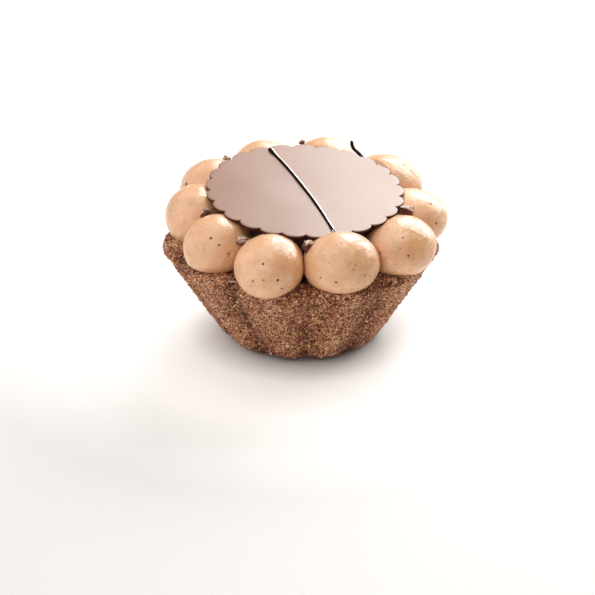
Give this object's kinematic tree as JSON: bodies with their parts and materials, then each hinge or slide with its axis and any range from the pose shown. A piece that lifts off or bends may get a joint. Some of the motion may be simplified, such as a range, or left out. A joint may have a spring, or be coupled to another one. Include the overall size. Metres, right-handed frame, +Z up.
{
  "type": "chocolate tart",
  "caption": "Small round chocolate tart: fluted cocoa crumb shell, dark filling, a ring of piped cream balls with cocoa nibs, and a scalloped milk chocolate disc laid on top",
  "frame": {"origin": "centre of the flat underside of the shell", "axes": "+Z up, -Y the side seen from the front, +X to the right of that view"},
  "size_m": [0.0738, 0.0754, 0.0424],
  "materials": {
    "crumb": "baked cocoa crumb, reddish brown, coarse and dry",
    "filling": "dark chocolate filling, smooth, satin",
    "cream": "piped chocolate cream, pale tan, soft sheen, small pits",
    "chocolate": "tempered milk chocolate, smooth and glossy"
  },
  "bodies": {
    "root": {"shell": "crumb", "filling": "filling", "cream_01": "cream", "cream_02": "cream", "cream_03": "cream", "cream_04": "cream", "cream_05": "cream", "cream_06": "cream", "cream_07": "cream", "cream_08": "cream", "cream_09": "cream", "cream_10": "cream", "disc": "chocolate"}
  },
  "joints": []
}
